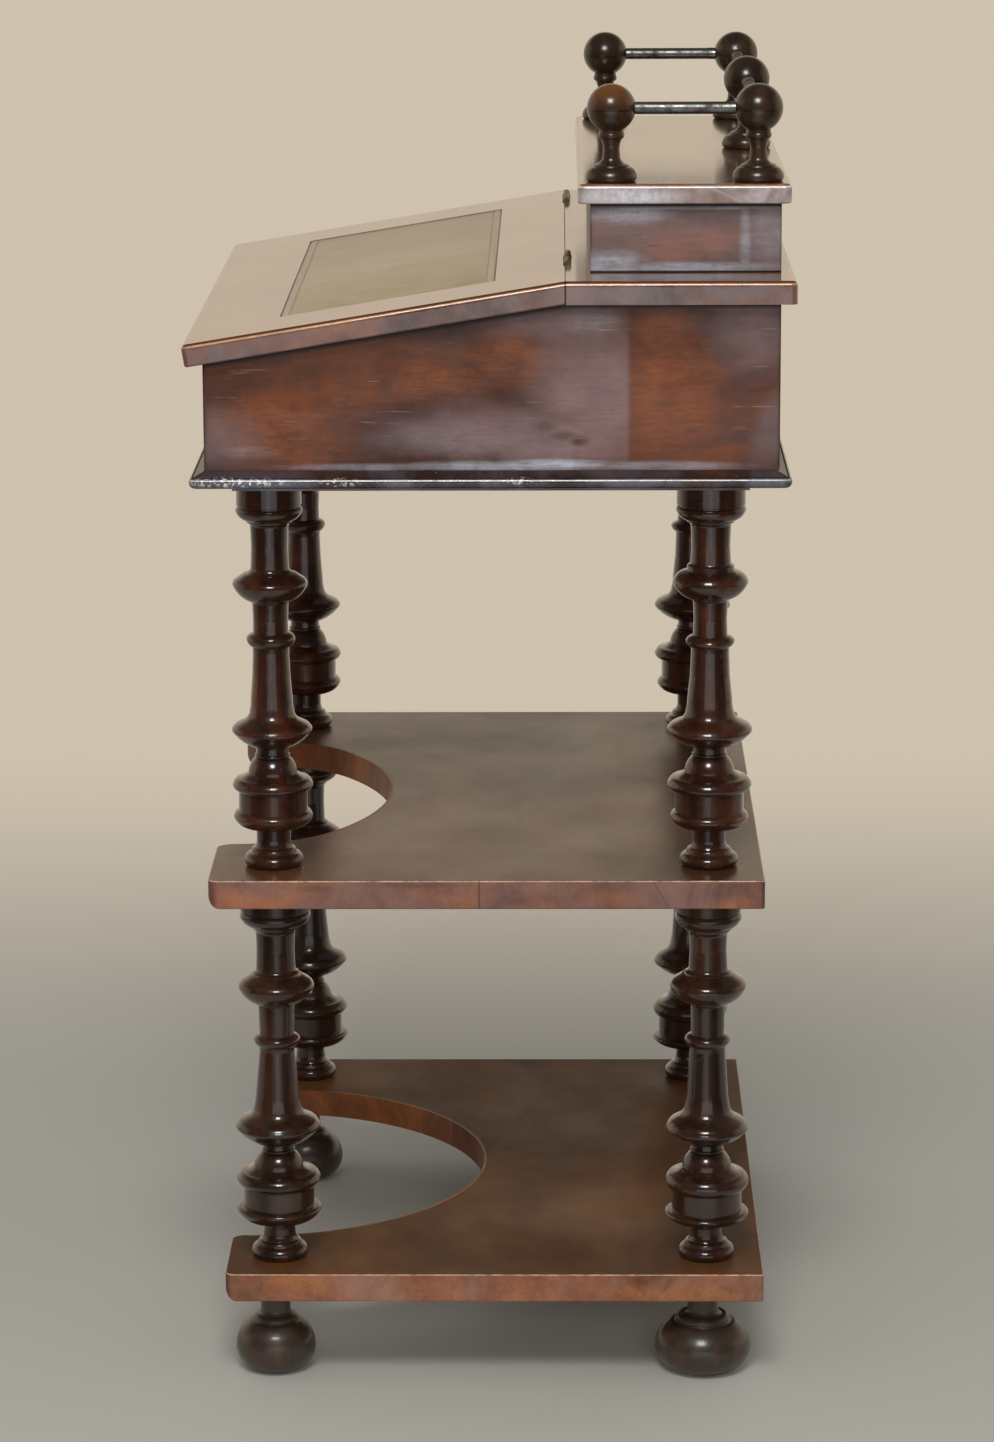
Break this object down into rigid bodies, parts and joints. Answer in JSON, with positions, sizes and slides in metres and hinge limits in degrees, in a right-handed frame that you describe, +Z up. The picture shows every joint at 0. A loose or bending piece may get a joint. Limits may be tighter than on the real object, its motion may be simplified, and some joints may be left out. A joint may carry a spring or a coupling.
{
  "type": "davenport desk",
  "caption": "Tall narrow davenport desk: sloped writing flap with a leather inset, hinged stationery lid with a ball gallery, turned columns, knee-cut shelves and bun feet.",
  "frame": {"origin": "on the floor, below the middle of the desk's outline", "axes": "+Z up, the desk's height; +X to the user's right, the width; +Y from the user's side to the back"},
  "size_m": [0.58, 0.449, 0.9932],
  "materials": {
    "turned_feet": "dark french polish",
    "turned_columns": "dark french polish",
    "shelf_mahogany": "french polish, worn",
    "cutout_banding": "french polish",
    "base_mahogany": "french polish, chipped at the arris",
    "case_mahogany": "french polish",
    "top_mahogany": "glossy french polish",
    "box_mahogany": "french polish",
    "writing_leather": "aged, tooled line near the edge",
    "gallery_posts": "dark french polish",
    "gallery_rods": "fine knurl",
    "hinge_brass": "aged",
    "lock_brass": "aged",
    "lock_steel": "plain",
    "drawer_front_mahogany": "french polish",
    "drawer_oak": "waxed",
    "drawer_knobs": "dark french polish"
  },
  "bodies": {
    "desk_frame": {"foot_front_left": "turned_feet", "lower_column_front_left": "turned_columns", "upper_column_front_left": "turned_columns", "foot_front_right": "turned_feet", "lower_column_front_right": "turned_columns", "upper_column_front_right": "turned_columns", "foot_rear_left": "turned_feet", "lower_column_rear_left": "turned_columns", "upper_column_rear_left": "turned_columns", "foot_rear_right": "turned_feet", "lower_column_rear_right": "turned_columns", "upper_column_rear_right": "turned_columns", "lower_shelf": "shelf_mahogany", "lower_shelf_cutout_banding": "cutout_banding", "middle_shelf": "shelf_mahogany", "middle_shelf_cutout_banding": "cutout_banding", "sub_base_board": "base_mahogany", "base_board": "base_mahogany", "case_side_left": "case_mahogany", "case_side_right": "case_mahogany", "case_front": "case_mahogany", "case_back": "case_mahogany", "ledge_board": "top_mahogany", "stationery_side_left": "box_mahogany", "stationery_side_right": "box_mahogany", "stationery_front": "box_mahogany", "stationery_back": "box_mahogany", "slope_hinge_left_case_leaf": "hinge_brass", "lid_hinge_left_box_leaf": "hinge_brass", "slope_hinge_right_case_leaf": "hinge_brass", "lid_hinge_right_box_leaf": "hinge_brass", "hinge_pins": "hinge_brass", "keyhole_liner": "lock_brass", "lock_case": "lock_brass", "drawer_divider": "drawer_oak", "drawer_dust_board": "drawer_oak"},
    "writing_slope": {"slope_board": "top_mahogany", "leather_inset": "writing_leather", "slope_hinge_left_flap_leaf": "hinge_brass", "slope_hinge_right_flap_leaf": "hinge_brass", "lock_link_plate": "lock_brass"},
    "stationery_lid": {"lid_board": "top_mahogany", "gallery_post_front_left": "gallery_posts", "gallery_post_front_right": "gallery_posts", "gallery_post_rear_left": "gallery_posts", "gallery_post_rear_middle": "gallery_posts", "gallery_post_rear_right": "gallery_posts", "gallery_rod_left": "gallery_rods", "gallery_rod_right": "gallery_rods", "gallery_rod_rear_left": "gallery_rods", "gallery_rod_rear_right": "gallery_rods", "lid_hinge_left_lid_leaf": "hinge_brass", "lid_hinge_right_lid_leaf": "hinge_brass"},
    "drawer_left": {"drawer_left_tray": "drawer_oak", "drawer_left_front": "drawer_front_mahogany", "drawer_left_knob": "drawer_knobs"},
    "drawer_right": {"drawer_right_tray": "drawer_oak", "drawer_right_front": "drawer_front_mahogany", "drawer_right_knob": "drawer_knobs"},
    "lock_bolt": {"lock_bolt": "lock_steel"}
  },
  "joints": [
    {"name": "writing_slope_hinge", "type": "hinge", "parent": "desk_frame", "child": "writing_slope", "pos_m": [0, 0.0575, 0.8575], "axis": [-1, 0, 0], "range_deg": [0, 104]},
    {"name": "stationery_lid_hinge", "type": "hinge", "parent": "desk_frame", "child": "stationery_lid", "pos_m": [0, 0.2172, 0.9072], "axis": [-1, 0, 0], "range_deg": [0, 95]},
    {"name": "drawer_left_slide", "type": "slide", "parent": "desk_frame", "child": "drawer_left", "axis": [0, -1, 0], "range_m": [0, 0.09]},
    {"name": "drawer_right_slide", "type": "slide", "parent": "desk_frame", "child": "drawer_right", "axis": [0, -1, 0], "range_m": [0, 0.09]},
    {"name": "lock_bolt_slide", "type": "slide", "parent": "desk_frame", "child": "lock_bolt", "axis": [1, 0, 0], "range_m": [0, 0.0075]}
  ]
}
